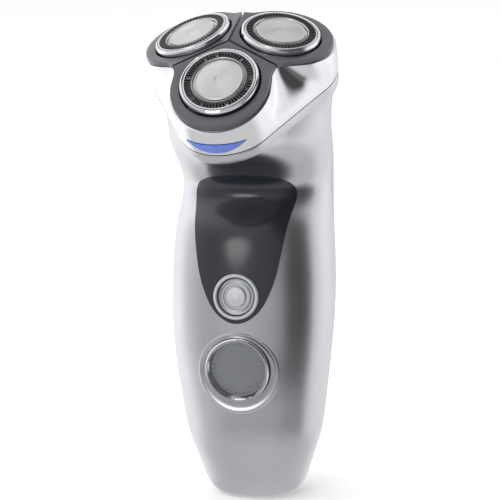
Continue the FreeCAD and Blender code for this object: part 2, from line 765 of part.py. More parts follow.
def battery_contacts():
    plates = [block(-12.0, 12.0, -0.6, 7.4, 70.65, 70.95), block(-12.0, -3.0, -0.6, 7.4, 21.42, 21.58),
              block(3.0, 12.0, -0.6, 7.4, 21.42, 21.58)]
    return Part.makeCompound(plates)


def charging_socket():
    cup = placed(block(-5.6, 5.6, -3.6, 3.6, -9.6, 0.0), inlet_frame())
    cup = cup.common(handle_body(wall + 0.05, wall, True))
    return cup.cut([inlet_opening(0.0, -8.4, 6.0), contact_pins()])


def contact_pins():
    pins = [placed(disc(0.75, -10.6, -2.6, x, 0), inlet_frame()) for x in (-pin_offset, pin_offset)]
    return Part.makeCompound(pins)


def case_screws():
    screws = []
    for x, z in SCREW_PLACES:
        head_y = screw_head_y(z)
        drive_slot = block(x - 1.4, x + 1.4, head_y + 0.9, 40, z - 0.3, z + 0.3)
        head = rod(2.1, head_y, head_y + 1.5, x, z).cut(drive_slot)
        screws.append(head.fuse(rod(1.0, -2.5, head_y + 0.2, x, z)))
    return Part.makeCompound(screws)


# ---- Trimmer on the back, in its own frame ----

def trimmer_pocket(margin):
    half = trimmer_width / 2 + 0.4 + margin
    return block(-half, half, -4.1 - margin, 12.0, -4.2 - margin, 24.6 + margin)


def trimmer_seat():
    tray = trimmer_pocket(1.0).common(block(-20, 20, -10, 2.0, -20, 40)).cut(trimmer_pocket(0.0))
    tray = placed(tray, trimmer_frame()).common(handle_body(wall + 0.1, wall, True))
    return tray.cut(trimmer_pin())


def trimmer_body():
    half = trimmer_width / 2
    arm = block(-half, half, -1.6, 6.0, 0.0, 20.0)
    foot = bar(3.7, -half, half).fuse(block(-half, half, 0, 6.0, -0.01, 4.0))
    shape = placed(arm.fuse(foot), trimmer_frame()).common(handle_body(-0.3))
    slot = block(-half + 0.5, half - 0.5, 0.2, 2.2, 17.0, 21.0)
    return shape.cut([placed(slot, trimmer_frame()), placed(bar(0.85, -15, 15), trimmer_frame())])


def comb(y_low, y_high, low, high, teeth, width):
    half = 8.6
    plate = block(-half, half, y_low, y_high, low, high)
    pitch = 2 * half / teeth
    for k in range(teeth):
        x = -half + pitch * (k + 0.5)
        plate = plate.fuse(block(x - width / 2, x + width / 2, y_low, y_high, high - 0.1, high + 2.0))
    return placed(plate, trimmer_frame())


def trimmer_comb():
    return comb(0.3, 0.9, 17.1, 21.6, 14, 0.6)


def trimmer_blade():
    return comb(1.0, 1.6, 17.6, 21.2, 14, 0.6)


def trimmer_pin():
    return placed(bar(0.8, -11.4, 11.4), trimmer_frame())


def trimmer_slider():
    knob = block(-5.0, 5.0, 30.3, 31.8, 96.1, 105.1)
    ridges = [block(-4.0, 4.0, 31.6, 32.2, 97.9 + 2.4 * k, 98.7 + 2.4 * k) for k in range(3)]
    stem = block(-2.2, 2.2, 25.5, 30.4, 96.5, 100.5)
    keeper = block(-4.5, 4.5, 25.0, 26.4, 95.5, 101.5)
    return knob.fuse(ridges + [stem, keeper])


os.makedirs("parts", exist_ok=True)

parts = {
    "front_shell": front_shell,
    "rear_shell": rear_shell,
    "rear_grip": rear_grip,
    "collar": collar,
    "hinge_pin": hinge_pin,
    "head_shell": head_shell,
    "retaining_frame": retaining_frame,
    "lock_wheel": lock_wheel,
    "release_button": release_button,
    "motor_pinion": motor_pinion,
    "gear_plate": gear_plate,
    "spindle_deck": spindle_deck,
    "deck_screws": deck_screws,
    "motor_screws": motor_screws,
    "chamber_seal": chamber_seal,
    "motor": motor,
    "thumb_panel": thumb_panel,
    "button_ring": button_ring,
    "power_button": power_button,
    "power_button_disc": power_button_disc,
    "display_surround": display_surround,
    "display_bezel": display_bezel,
    "display_window": display_window,
    "lcd_module": lcd_module,
    "circuit_board": circuit_board,
    "power_switch": power_switch,
    "chassis": chassis,
    "battery_contacts": battery_contacts,
    "charging_socket": charging_socket,
    "contact_pins": contact_pins,
    "case_screws": case_screws,
    "trimmer_seat": trimmer_seat,
    "trimmer_body": trimmer_body,
    "trimmer_comb": trimmer_comb,
    "trimmer_blade": trimmer_blade,
    "trimmer_pin": trimmer_pin,
    "trimmer_slider": trimmer_slider,
}

for node, build in parts.items():
    build().exportStep(f"parts/{node}.step")

for side, x in (("left", -7.6), ("right", 7.6)):
    battery_cell(x).exportStep(f"parts/battery_cell_{side}.step")

for place, angle in head_angles.items():
    petal(angle).exportStep(f"parts/petal_{place}.step")
    guard_ring(angle).exportStep(f"parts/guard_ring_{place}.step")
    guard(angle).exportStep(f"parts/guard_{place}.step")
    guard_cap(angle).exportStep(f"parts/guard_cap_{place}.step")
    cutter(angle).exportStep(f"parts/cutter_{place}.step")
    drive_gear(angle).exportStep(f"parts/drive_gear_{place}.step")
    spindle(angle).exportStep(f"parts/spindle_{place}.step")
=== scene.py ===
import json
import math

import bpy
from mathutils import Matrix, Vector


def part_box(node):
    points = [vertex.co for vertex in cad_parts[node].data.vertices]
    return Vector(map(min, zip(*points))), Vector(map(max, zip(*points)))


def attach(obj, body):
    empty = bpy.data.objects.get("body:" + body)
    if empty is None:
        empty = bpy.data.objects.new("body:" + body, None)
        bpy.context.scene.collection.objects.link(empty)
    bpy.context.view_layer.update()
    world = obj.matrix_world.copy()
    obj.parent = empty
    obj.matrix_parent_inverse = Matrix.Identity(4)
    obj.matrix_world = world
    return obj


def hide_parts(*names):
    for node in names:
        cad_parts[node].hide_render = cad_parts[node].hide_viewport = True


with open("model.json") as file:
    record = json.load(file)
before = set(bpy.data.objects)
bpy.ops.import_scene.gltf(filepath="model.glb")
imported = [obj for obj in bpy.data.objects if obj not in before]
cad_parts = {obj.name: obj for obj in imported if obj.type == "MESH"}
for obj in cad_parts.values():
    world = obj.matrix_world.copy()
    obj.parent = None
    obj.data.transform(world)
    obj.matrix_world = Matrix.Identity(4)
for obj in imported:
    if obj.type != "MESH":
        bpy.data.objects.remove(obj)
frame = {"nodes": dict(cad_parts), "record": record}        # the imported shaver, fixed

mm = 0.001
record = frame["record"]
jointOf = {joint["name"]: joint for joint in record["behaviour"]["joints"]}
headNames = ("front", "right", "left")
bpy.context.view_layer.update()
print("frame loaded,", len(frame["nodes"]), "nodes")


cameraSet = {
    "azimuth": 15.2, "elevation": 8.14, "roll": -1.14, "distance": 0.6,
    "target": (0.0, -0.004, 0.0835), "lens": 126.4, "sensor": 36.0,
    "shiftX": -0.0004, "shiftY": 0.0083, "near": 0.05, "far": 50.0,
}


def wayTo(azimuth, elevation):
    # unit vector from the shaver to a place in degrees, azimuth 0 in front of it and 90 at +X
    turn = math.radians(azimuth)
    rise = math.radians(elevation)
    return Vector((math.sin(turn) * math.cos(rise), -math.cos(turn) * math.cos(rise), math.sin(rise)))


def placeCamera(look):
    turn = math.radians(look["azimuth"])
    lean = math.radians(look["roll"])
    back = wayTo(look["azimuth"], look["elevation"])
    right = Vector((math.cos(turn), math.sin(turn), 0.0))
    up = back.cross(right)
    sideways = right * math.cos(lean) + up * math.sin(lean)
    upwards = up * math.cos(lean) - right * math.sin(lean)
    place = Matrix.Translation(Vector(look["target"]) + back * look["distance"])
    bpy.ops.object.camera_add()
    camera = bpy.context.object
    camera.name = "mainCamera"
    camera.matrix_world = place @ Matrix((sideways, upwards, back)).transposed().to_4x4()
    camera.data.lens = look["lens"]
    camera.data.sensor_width = look["sensor"]
    camera.data.shift_x = look["shiftX"]
    camera.data.shift_y = look["shiftY"]
    camera.data.clip_start = look["near"]
    camera.data.clip_end = look["far"]
    bpy.context.scene.camera = camera


placeCamera(cameraSet)
print("camera placed")


# Bands give (place round the horizon, brightness): 0.5 is straight in front and 0.75 is at +X.
# Spans give the height of direction at which one level starts to take over and has taken over.
studioSet = {
    "floorSize": 80.0, "floorColour": (0.95, 0.95, 0.955), "floorGlow": 0.22, "floorRoughness": 0.9,
    "skyBands": [
        (0.0, 0.85), (0.10, 1.2), (0.20, 1.4), (0.28, 0.8), (0.36, 0.56), (0.53, 0.56),
        (0.59, 0.44), (0.63, 0.07), (0.73, 0.07), (0.77, 0.95), (0.85, 1.25), (1.0, 0.85),
    ],
    "footBands": [
        (0.0, 1.0), (0.22, 1.3), (0.33, 0.7), (0.43, 0.36), (0.56, 0.36),
        (0.63, 0.14), (0.71, 0.16), (0.78, 1.1), (1.0, 1.0),
    ],
    "topBands": [
        (0.0, 0.8), (0.18, 1.2), (0.34, 1.1), (0.43, 0.95), (0.53, 0.80),
        (0.60, 0.10), (0.72, 0.08), (0.80, 1.1), (1.0, 0.8),
    ],
    "nadir": 0.70, "zenith": 1.1, "blueTint": 1.01, "plainSky": 0.99,
    "topSpan": (0.35, 0.8), "zenithSpan": (0.95, 0.995),
    "footSpan": (-0.14, -0.34), "nadirSpan": (-0.42, -0.66),
    "middle": (0.0, 0.0, 0.09),
    "lights": [
        {"name": "keyLeft", "azimuth": -75, "elevation": 40, "distance": 1.4, "size": 0.8,
         "power": 4.0, "mirrored": False},
        {"name": "topSoft", "azimuth": 20, "elevation": 80, "distance": 1.4, "size": 0.8,
         "power": 4.0, "mirrored": False},
        {"name": "panelGlow", "azimuth": -15, "elevation": 16, "distance": 0.9, "size": 0.34,
         "power": 0.8, "mirrored": True},
    ],
}


def addFloor(look):
    bpy.ops.mesh.primitive_plane_add(size=look["floorSize"], location=(0, 0, 0))
    floor = bpy.context.object
    floor.name = "studioFloor"
    paint = bpy.data.materials.new("floorPaper")
    paint.use_nodes = True
    shader = paint.node_tree.nodes["Principled BSDF"]
    shader.inputs["Base Color"].default_value = (*look["floorColour"], 1)
    shader.inputs["Roughness"].default_value = look["floorRoughness"]
    shader.inputs["Emission Color"].default_value = (1, 1, 1, 1)
    shader.inputs["Emission Strength"].default_value = look["floorGlow"]
    floor.data.materials.append(paint)
    floor.visible_glossy = False                  # the shaver reflects the studio, not the floor


def addMath(nodes, operation):
    node = nodes.new("ShaderNodeMath")
    node.operation = operation
    return node


def addHorizonShare(nodes, links, parts):
    # 0 to 1 once round the horizon, from behind the shaver by its -X side to behind it again
    flip = addMath(nodes, "MULTIPLY")
    flip.inputs[1].default_value = -1.0
    links.new(parts.outputs["Y"], flip.inputs[0])
    turn = addMath(nodes, "ARCTAN2")
    links.new(parts.outputs["X"], turn.inputs[0])
    links.new(flip.outputs[0], turn.inputs[1])
    share = addMath(nodes, "MULTIPLY_ADD")
    share.inputs[1].default_value = 1 / (2 * math.pi)
    share.inputs[2].default_value = 0.5
    links.new(turn.outputs[0], share.inputs[0])
    return share.outputs[0]


def addBands(nodes, links, share, stops, tint):
    ramp = nodes.new("ShaderNodeValToRGB")
    ramp.color_ramp.interpolation = "EASE"
    for spot, _ in stops[1:-1]:
        ramp.color_ramp.elements.new(spot)
    for element, (spot, level) in zip(ramp.color_ramp.elements, stops):
        element.position = spot
        element.color = (level, level, level * tint, 1)
    links.new(share, ramp.inputs["Fac"])
    return ramp.outputs[0]


def addEvenLevel(nodes, amount):
    even = nodes.new("ShaderNodeRGB")
    even.outputs[0].default_value = (amount, amount, amount, 1)
    return even.outputs[0]


def mixByHeight(nodes, links, height, span, before, after):
    reach = nodes.new("ShaderNodeMapRange")
    reach.interpolation_type = "SMOOTHSTEP"
    reach.inputs["From Min"].default_value = span[0]
    reach.inputs["From Max"].default_value = span[1]
    links.new(height, reach.inputs["Value"])
    blend = nodes.new("ShaderNodeMix")
    blend.data_type = "RGBA"
    links.new(reach.outputs[0], blend.inputs["Factor"])
    links.new(before, blend.inputs["A"])
    links.new(after, blend.inputs["B"])
    return blend.outputs["Result"]


def addSky(look):
    # what the shaver reflects is banded like a photo studio, and the open background stays plain
    world = bpy.data.worlds.new("studioSky")
    bpy.context.scene.world = world
    world.use_nodes = True
    nodes, links = world.node_tree.nodes, world.node_tree.links
    nodes.clear()
    direction = nodes.new("ShaderNodeTexCoord")
    parts = nodes.new("ShaderNodeSeparateXYZ")
    links.new(direction.outputs["Generated"], parts.inputs[0])
    height = parts.outputs["Z"]
    share = addHorizonShare(nodes, links, parts)
    tint = look["blueTint"]
    top = addBands(nodes, links, share, look["topBands"], tint)
    foot = addBands(nodes, links, share, look["footBands"], tint)
    level = addBands(nodes, links, share, look["skyBands"], tint)
    level = mixByHeight(nodes, links, height, look["topSpan"], level, top)
    level = mixByHeight(nodes, links, height, look["zenithSpan"], level, addEvenLevel(nodes, look["zenith"]))
    level = mixByHeight(nodes, links, height, look["footSpan"], level, foot)
    level = mixByHeight(nodes, links, height, look["nadirSpan"], level, addEvenLevel(nodes, look["nadir"]))
    soft = nodes.new("ShaderNodeBackground")
    links.new(level, soft.inputs["Color"])
    plain = nodes.new("ShaderNodeBackground")
    plain.inputs["Color"].default_value = (*[look["plainSky"]] * 3, 1)
    seen = nodes.new("ShaderNodeLightPath")
    either = nodes.new("ShaderNodeMixShader")
    links.new(seen.outputs["Is Camera Ray"], either.inputs["Fac"])
    links.new(soft.outputs[0], either.inputs[1])
    links.new(plain.outputs[0], either.inputs[2])
    out = nodes.new("ShaderNodeOutputWorld")
    links.new(either.outputs[0], out.inputs["Surface"])


def addLights(look):
    for lamp in look["lights"]:
        way = wayTo(lamp["azimuth"], lamp["elevation"])
        bpy.ops.object.light_add(type="AREA", location=Vector(look["middle"]) + way * lamp["distance"])
        light = bpy.context.object
        light.name = lamp["name"]
        light.rotation_euler = way.to_track_quat("Z", "Y").to_euler()
        light.data.shape = "DISK"
        light.data.size = lamp["size"]
        light.data.energy = lamp["power"]
        light.visible_glossy = lamp["mirrored"]


addFloor(studioSet)
addSky(studioSet)
addLights(studioSet)
bpy.context.scene.view_settings.view_transform = "Standard"
print("studio set")


# patch and grain are noise scales per metre; swing and shade say how far gloss and colour wander
finishes = {
    "silver": {
        "colour": (0.60, 0.61, 0.635), "metallic": 1.0, "roughness": 0.30, "swing": 0.06,
        "shade": 0.05, "patch": 60, "grain": 9000, "bump": 0.05, "coat": 0.25, "coatRoughness": 0.12,
    },
    "chrome": {
        "colour": (0.78, 0.79, 0.81), "metallic": 1.0, "roughness": 0.07, "swing": 0.05,
        "shade": 0.03, "patch": 90, "grain": 2500, "bump": 0.015,
    },
    "petal": {
        "colour": (0.092, 0.096, 0.103), "metallic": 0.25, "roughness": 0.34, "swing": 0.08,
        "shade": 0.08, "patch": 120, "grain": 7000, "bump": 0.10, "coat": 0.15, "coatRoughness": 0.25,
    },
    "smoke": {
        "colour": (0.014, 0.016, 0.023), "metallic": 0.0, "roughness": 0.22, "swing": 0.04,
        "shade": 0.10, "patch": 80, "grain": 3000, "bump": 0.01, "coat": 0.5, "coatRoughness": 0.2,
    },
    "blue": {
        "colour": (0.085, 0.16, 0.52), "metallic": 0.0, "roughness": 0.22, "swing": 0.05,
        "shade": 0.12, "patch": 200, "grain": 4000, "bump": 0.02, "coat": 0.6, "coatRoughness": 0.08,
        "subsurface": 0.25,
    },
    "steel": {
        "colour": (0.62, 0.62, 0.63), "metallic": 1.0, "roughness": 0.24, "swing": 0.10,
        "shade": 0.06, "patch": 150, "grain": 6000, "bump": 0.04,
    },
    "rubber": {
        "colour": (0.028, 0.028, 0.031), "metallic": 0.0, "roughness": 0.62, "swing": 0.10,
        "shade": 0.15, "patch": 120, "grain": 5000, "bump": 0.25,
    },
    "black": {
        "colour": (0.022, 0.022, 0.025), "metallic": 0.0, "roughness": 0.42, "swing": 0.08,
        "shade": 0.12, "patch": 120, "grain": 6000, "bump": 0.15,
    },
    "grey": {
        "colour": (0.16, 0.17, 0.18), "metallic": 0.0, "roughness": 0.5, "swing": 0.08,
        "shade": 0.10, "patch": 120, "grain": 5000, "bump": 0.12,
    },
    "white": {
        "colour": (0.74, 0.74, 0.71), "metallic": 0.0, "roughness": 0.4, "swing": 0.06,
        "shade": 0.05, "patch": 120, "grain": 5000, "bump": 0.06, "subsurface": 0.1,
    },
    "board": {
        "colour": (0.02, 0.12, 0.05), "metallic": 0.0, "roughness": 0.35, "swing": 0.10,
        "shade": 0.25, "patch": 400, "grain": 3000, "bump": 0.10,
    },
    "lcd": {
        "colour": (0.215, 0.222, 0.23), "metallic": 0.2, "roughness": 0.38, "swing": 0.05,
        "shade": 0.08, "patch": 100, "grain": 8000, "bump": 0.03,
    },
    "cell": {
        "colour": (0.05, 0.14, 0.32), "metallic": 0.3, "roughness": 0.3, "swing": 0.05,
        "shade": 0.10, "patch": 100, "grain": 3000, "bump": 0.03,
    },
    "brass": {
        "colour": (0.72, 0.55, 0.25), "metallic": 1.0, "roughness": 0.25, "swing": 0.10,
        "shade": 0.10, "patch": 150, "grain": 4000, "bump": 0.04,
    },
    "lcdInk": {
        "colour": (0.12, 0.125, 0.13), "metallic": 0.0, "roughness": 0.4, "swing": 0.05,
        "shade": 0.10, "patch": 300, "grain": 6000, "bump": 0.02,
    },
    "glass": {
        "colour": (0.96, 0.97, 0.98), "metallic": 0.0, "roughness": 0.03, "swing": 0.02,
        "shade": 0.01, "patch": 90, "grain": 1500, "bump": 0.004, "clear": 1.0,
    },
}
grainSet = {
    "patchDetail": 4.0, "grainDetail": 2.0, "low": 0.3, "high": 0.7, "leastRoughness": 0.01,
    "reliefDepth": 0.1 * mm, "subsurfaceDepth": 1.0 * mm, "plainCoatRoughness": 0.1,
}


def addNoise(nodes, links, place, scale, detail):
    noise = nodes.new("ShaderNodeTexNoise")
    noise.inputs["Scale"].default_value = scale
    noise.inputs["Detail"].default_value = detail
    links.new(place.outputs["Object"], noise.inputs["Vector"])
    return noise.outputs["Fac"]


def wanderColour(nodes, links, patches, shader, look):
    colour, shade = look["colour"], look["shade"]
    shades = nodes.new("ShaderNodeValToRGB")
    darker, lighter = shades.color_ramp.elements[0], shades.color_ramp.elements[1]
    darker.position = grainSet["low"]
    darker.color = (*[part * (1 - shade) for part in colour], 1)
    lighter.position = grainSet["high"]
    lighter.color = (*[min(1.0, part * (1 + shade)) for part in colour], 1)
    links.new(patches, shades.inputs["Fac"])
    links.new(shades.outputs["Color"], shader.inputs["Base Color"])


def wanderGloss(nodes, links, patches, grain, shader, look):
    both = addMath(nodes, "ADD")
    links.new(patches, both.inputs[0])
    links.new(grain, both.inputs[1])
    half = addMath(nodes, "MULTIPLY")
    half.inputs[1].default_value = 0.5
    links.new(both.outputs[0], half.inputs[0])
    gloss = nodes.new("ShaderNodeMapRange")
    smoothest = look["roughness"] - look["swing"] / 2
    gloss.inputs["From Min"].default_value = grainSet["low"]
    gloss.inputs["From Max"].default_value = grainSet["high"]
    gloss.inputs["To Min"].default_value = max(grainSet["leastRoughness"], smoothest)
    gloss.inputs["To Max"].default_value = look["roughness"] + look["swing"] / 2
    links.new(half.outputs[0], gloss.inputs["Value"])
    links.new(gloss.outputs["Result"], shader.inputs["Roughness"])


def raiseRelief(nodes, links, height, shader, strength):
    relief = nodes.new("ShaderNodeBump")
    relief.inputs["Strength"].default_value = strength
    relief.inputs["Distance"].default_value = grainSet["reliefDepth"]
    links.new(height, relief.inputs["Height"])
    links.new(relief.outputs["Normal"], shader.inputs["Normal"])


def makeFinish(name, look):
    material = bpy.data.materials.new(name)
    material.use_nodes = True
    nodes, links = material.node_tree.nodes, material.node_tree.links
    shader = nodes["Principled BSDF"]
    place = nodes.new("ShaderNodeTexCoord")
    patches = addNoise(nodes, links, place, look["patch"], grainSet["patchDetail"])
    grain = addNoise(nodes, links, place, look["grain"], grainSet["grainDetail"])
    wanderColour(nodes, links, patches, shader, look)
    wanderGloss(nodes, links, patches, grain, shader, look)
    shader.inputs["Metallic"].default_value = look["metallic"]
    shader.inputs["Coat Weight"].default_value = look.get("coat", 0.0)
    shader.inputs["Coat Roughness"].default_value = look.get("coatRoughness", grainSet["plainCoatRoughness"])
    shader.inputs["Transmission Weight"].default_value = look.get("clear", 0.0)
    if "subsurface" in look:
        shader.inputs["Subsurface Weight"].default_value = look["subsurface"]
        shader.inputs["Subsurface Scale"].default_value = grainSet["subsurfaceDepth"]
    if "centre" in look:
        brushInCircles(nodes, links, place, shader, look)
    else:
        raiseRelief(nodes, links, grain, shader, look["bump"])
    return material


brushSet = {"scale": 5200.0, "detail": 3.0, "strength": 0.12}


def brushInCircles(nodes, links, place, shader, look):
    # highlights stretch across the brush lines, which run in circles round the head's axis
    shader.inputs["Anisotropic"].default_value = look["anisotropy"]
    arm = nodes.new("ShaderNodeVectorMath")
    arm.operation = "SUBTRACT"
    arm.inputs[1].default_value = look["centre"]
    links.new(place.outputs["Object"], arm.inputs[0])
    along = nodes.new("ShaderNodeVectorMath")
    along.operation = "CROSS_PRODUCT"
    along.inputs[0].default_value = look["axis"]
    links.new(arm.outputs["Vector"], along.inputs[1])
    turned = nodes.new("ShaderNodeVectorTransform")
    turned.vector_type = "VECTOR"
    turned.convert_from = "OBJECT"
    turned.convert_to = "WORLD"
    links.new(along.outputs["Vector"], turned.inputs[0])
    links.new(turned.outputs[0], shader.inputs["Tangent"])
    reach = nodes.new("ShaderNodeVectorMath")
    reach.operation = "LENGTH"
    links.new(arm.outputs["Vector"], reach.inputs[0])
    scratches = nodes.new("ShaderNodeTexNoise")
    scratches.noise_dimensions = "1D"
    scratches.inputs["Scale"].default_value = brushSet["scale"]
    scratches.inputs["Detail"].default_value = brushSet["detail"]
    links.new(reach.outputs["Value"], scratches.inputs["W"])
    raiseRelief(nodes, links, scratches.outputs["Fac"], shader, brushSet["strength"])


finishes["satinChrome"] = dict(finishes["chrome"], roughness=0.55, bump=0.03)
# the slotted track's darker steel is painted shade, standing in for the shadow inside its slots
finishes["trackSteel"] = dict(finishes["steel"], colour=(0.075, 0.075, 0.08), roughness=0.36)
materials = {name: makeFinish(name, look) for name, look in finishes.items()}
finishOf = {part["node"]: part["material_slot"] for part in record["subparts"]}
finishOf.update({"power_button_disc": "satinChrome", "button_ring": "satinChrome"})
for node, thing in frame["nodes"].items():
    for spot in thing.material_slots:
        spot.material = materials[finishOf[node]]
print("finishes on", len(frame["nodes"]), "nodes")


def deselectAll():
    if bpy.context.object and bpy.context.object.mode != "OBJECT":
        bpy.ops.object.mode_set(mode="OBJECT")
    bpy.ops.object.select_all(action="DESELECT")


def pickOnly(thing):
    deselectAll()
    thing.select_set(True)
    bpy.context.view_layer.objects.active = thing


def placeMesh(thing, matrix):
    thing.data.transform(matrix)
    thing.data.update()


def facing(centre, axis, upHint=(0, 0, 1)):
    # matrix of a place with z along an axis and y as near to upHint as it can be
    outward = Vector(axis).normalized()
    side = Vector(upHint).cross(outward).normalized()
    upward = outward.cross(side)
    turn = Matrix((side, upward, outward)).transposed().to_4x4()
    return Matrix.Translation(Vector(centre)) @ turn


def ringStack(name, profile, around, closedFoot=True):
    # a turned piece: a circle, then one extruded and scaled ring for each step of its profile
    deselectAll()
    radius, height = profile[0]
    fill = "NGON" if closedFoot else "NOTHING"
    bpy.ops.mesh.primitive_circle_add(
        vertices=around, radius=radius * mm, location=(0, 0, height * mm), fill_type=fill)
    piece = bpy.context.object
    piece.name = name
    bpy.ops.object.transform_apply(location=True, rotation=True, scale=True)
    bpy.ops.object.mode_set(mode="EDIT")
    bpy.ops.mesh.select_mode(type="VERT")
    bpy.ops.mesh.select_all(action="SELECT")
    for nextRadius, nextHeight in profile[1:]:
        rise = (0, 0, (nextHeight - height) * mm)
        grow = nextRadius / radius
        bpy.ops.mesh.extrude_region_move(TRANSFORM_OT_translate={"value": rise})
        bpy.ops.transform.resize(value=(grow, grow, 1), center_override=(0, 0, nextHeight * mm))
        radius, height = nextRadius, nextHeight
    bpy.ops.object.mode_set(mode="OBJECT")
    return piece


def thicken(piece, thickness, offset=-1.0):
    wall = piece.modifiers.new("wall", "SOLIDIFY")
    wall.thickness = thickness * mm
    wall.offset = offset
    bpy.ops.object.modifier_apply(modifier="wall")


def roundEdges(piece, width, segments, sharpness):
    softEdge = piece.modifiers.new("softEdge", "BEVEL")
    softEdge.width = width * mm
    softEdge.segments = segments
    softEdge.limit_method = "ANGLE"
    softEdge.angle_limit = math.radians(sharpness)
    bpy.ops.object.modifier_apply(modifier="softEdge")


def layOn(piece, target, axis, offset=0.0):
    # drops the active piece onto the target, backwards along one of its own axes
    wrap = piece.modifiers.new("wrap", "SHRINKWRAP")
    wrap.target = target
    wrap.wrap_method = "PROJECT"
    wrap.use_project_y = axis == "y"
    wrap.use_project_z = axis == "z"
    wrap.use_negative_direction = True
    wrap.use_positive_direction = False
    wrap.offset = offset * mm
    bpy.ops.object.modifier_apply(modifier="wrap")


def finishPiece(piece, angle=35, gap=0.002):
    # welds what lies closer than gap, turns the normals outward and smooths below the angle
    pickOnly(piece)
    bpy.ops.object.mode_set(mode="EDIT")
    bpy.ops.mesh.select_all(action="SELECT")
    bpy.ops.mesh.remove_doubles(threshold=gap * mm)
    bpy.ops.mesh.normals_make_consistent(inside=False)
    bpy.ops.object.mode_set(mode="OBJECT")
    bpy.ops.object.shade_smooth_by_angle(angle=math.radians(angle))


def copyAt(piece, name, matrix):
    twin = piece.copy()
    twin.data = piece.data.copy()
    twin.name = name
    bpy.context.collection.objects.link(twin)
    placeMesh(twin, matrix)
    return twin


def joinAs(name, pieces):
    deselectAll()
    for piece in pieces:
        piece.select_set(True)
    bpy.context.view_layer.objects.active = pieces[0]
    bpy.ops.object.join()
    joined = bpy.context.object
    joined.name = name
    joined.matrix_world = Matrix.Identity(4)
    return joined


def dress(piece, body, slotName, material, *replacedNodes):
    piece.data.materials.clear()
    piece.data.materials.append(material)
    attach(piece, body)
    if replacedNodes:
        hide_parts(*replacedNodes)


def headPlace(head):
    spin = jointOf[f"cutter_{head}_spin"]
    return facing(spin["pos_m"], spin["axis"])


def brushedSteel(name, place, **changes):
    look = dict(finishes["steel"], centre=place.translation, axis=place.col[2].xyz, **changes)
    return makeFinish(name, look)


# every second field between slotInner and slotOuter is a slot, cut through the wall
guardSet = {
    "segments": 128,
    "profile": [
        (12.1, -1.6), (12.1, -0.25), (11.9, 0.0), (11.45, 0.02), (9.45, 0.02),
        (9.1, 0.0), (8.82, -0.25), (8.7, -0.95), (8.35, -1.15), (7.9, -1.15),
    ],
    "slotOuter": 11.45, "slotInner": 9.45, "paintedShadeMargin": 0.2, "thickness": 0.32, "smooth": 40,
    "roughness": 0.26, "anisotropy": 0.6,
}


def makeGuard(look):
    guard = ringStack("guardMaster", look["profile"], look["segments"], closedFoot=False)
    bpy.ops.object.mode_set(mode="EDIT")
    bpy.ops.mesh.select_mode(type="FACE")
    bpy.ops.mesh.select_all(action="DESELECT")
    bpy.ops.object.mode_set(mode="OBJECT")
    step = 2 * math.pi / look["segments"]
    for face in guard.data.polygons:
        middle = face.center
        reach = math.hypot(middle.x, middle.y) / mm
        index = int(math.floor(math.atan2(middle.y, middle.x) / step))
        face.select = look["slotInner"] < reach < look["slotOuter"] and index % 2 == 0
    bpy.ops.object.mode_set(mode="EDIT")
    bpy.ops.mesh.delete(type="FACE")
    bpy.ops.mesh.select_all(action="SELECT")
    bpy.ops.mesh.normals_make_consistent(inside=False)
    bpy.ops.object.mode_set(mode="OBJECT")
    thicken(guard, look["thickness"])
    finishPiece(guard, look["smooth"])
    return guard


def placeGuard(master, head, look):
    place = headPlace(head)
    guard = copyAt(master, f"slottedGuard_{head}", place)
    metal = brushedSteel(
        f"guardSteel_{head}", place, roughness=look["roughness"], anisotropy=look["anisotropy"])
    dress(guard, f"floating_head_{head}", "steel", metal, f"guard_{head}")
    # faces on the slotted track, plus a margin, take the darker steel: painted shade of the slots
    guard.data.materials.append(materials["trackSteel"])
    inner = look["slotInner"] - look["paintedShadeMargin"]
    outer = look["slotOuter"] + look["paintedShadeMargin"]
    for face in guard.data.polygons:
        reach = (face.center - place.translation).length / mm
        face.material_index = 1 if inner < reach < outer else 0


guardMaster = makeGuard(guardSet)
for head in headNames:
    placeGuard(guardMaster, head, guardSet)
bpy.data.objects.remove(guardMaster)
print("guards slotted")


capSet = {
    "around": 96,
    "profile": [
        (8.15, -1.15), (8.15, -0.3), (8.05, 0.0), (7.8, 0.14), (7.55, 0.12), (7.4, 0.02),
        (7.2, 0.05), (4.6, 0.24), (1.5, 0.33), (1.35, 0.31), (1.2, 0.2), (0.3, 0.2),
    ],
    "colour": (0.60, 0.60, 0.61), "anisotropy": 0.85, "roughness": 0.3, "smooth": 30,
}


def makeCap(look):
    cap = ringStack("capMaster", look["profile"], look["around"])
    bpy.ops.object.mode_set(mode="EDIT")
    bpy.ops.mesh.edge_face_add()                  # closes the small dimple
    bpy.ops.object.mode_set(mode="OBJECT")
    finishPiece(cap, look["smooth"])
    return cap


def placeCap(master, head, look):
    place = headPlace(head)
    cap = copyAt(master, f"brushedCap_{head}", place)
    metal = brushedSteel(
        f"capSteel_{head}", place, colour=look["colour"], roughness=look["roughness"],
        anisotropy=look["anisotropy"])
    dress(cap, f"floating_head_{head}", "steel", metal, f"guard_cap_{head}")


capMaster = makeCap(capSet)
for head in headNames:
    placeCap(capMaster, head, capSet)
bpy.data.objects.remove(capMaster)
print("caps turned")


petalSet = {"edge": 0.42, "rounds": 3, "flatten": 1.5, "sharpness": 40, "smooth": 35, "gap": 0.02}


def makePetal(head, look):
    source = frame["nodes"][f"petal_{head}"]
    petal = copyAt(source, f"roundedPetal_{head}", Matrix.Identity(4))
    pickOnly(petal)
    bpy.ops.object.mode_set(mode="EDIT")
    bpy.ops.mesh.select_all(action="SELECT")
    bpy.ops.mesh.customdata_custom_splitnormals_clear()
    bpy.ops.mesh.remove_doubles(threshold=look["gap"] * mm)
    bpy.ops.mesh.dissolve_limited(angle_limit=math.radians(look["flatten"]))
    bpy.ops.mesh.normals_make_consistent(inside=False)
    bpy.ops.object.mode_set(mode="OBJECT")
    roundEdges(petal, look["edge"], look["rounds"], look["sharpness"])
    bpy.ops.object.shade_smooth_by_angle(angle=math.radians(look["smooth"]))
    dress(petal, "shaving_unit", "petal", materials["petal"], f"petal_{head}")


for head in headNames:
    makePetal(head, petalSet)
print("petals rounded")


